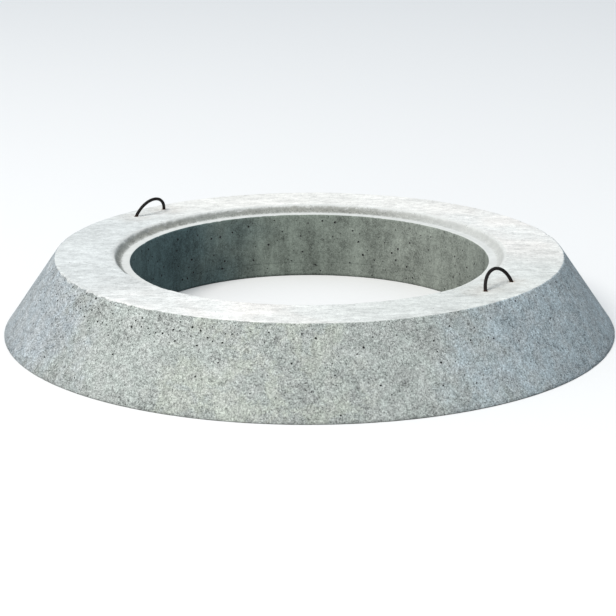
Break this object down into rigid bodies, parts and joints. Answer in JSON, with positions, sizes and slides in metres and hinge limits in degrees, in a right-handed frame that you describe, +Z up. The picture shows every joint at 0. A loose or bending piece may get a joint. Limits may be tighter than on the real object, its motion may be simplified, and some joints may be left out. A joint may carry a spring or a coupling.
{
  "type": "conical precast concrete culvert ring",
  "caption": "Flat-based conical precast concrete ring with a round bore, a shallow cover seat round it and cast-in round bar lifting loops, used at the head of a manhole or culvert shaft.",
  "frame": {"origin": "on the axis of the bore, at the underside of the ring", "axes": "+Z up along the axis of the bore; +X towards the right lifting loop, so both loops stand in planes that run along Y"},
  "size_m": [2.1698, 2.1698, 0.3324],
  "materials": {
    "concrete": "steel-mould cast concrete with small air holes, pale trowelled top",
    "loop_steel": "dark mill scale with light rust"
  },
  "bodies": {
    "root": {"concrete_ring": "concrete", "lifting_loop_right": "loop_steel", "lifting_loop_left": "loop_steel"}
  },
  "joints": []
}
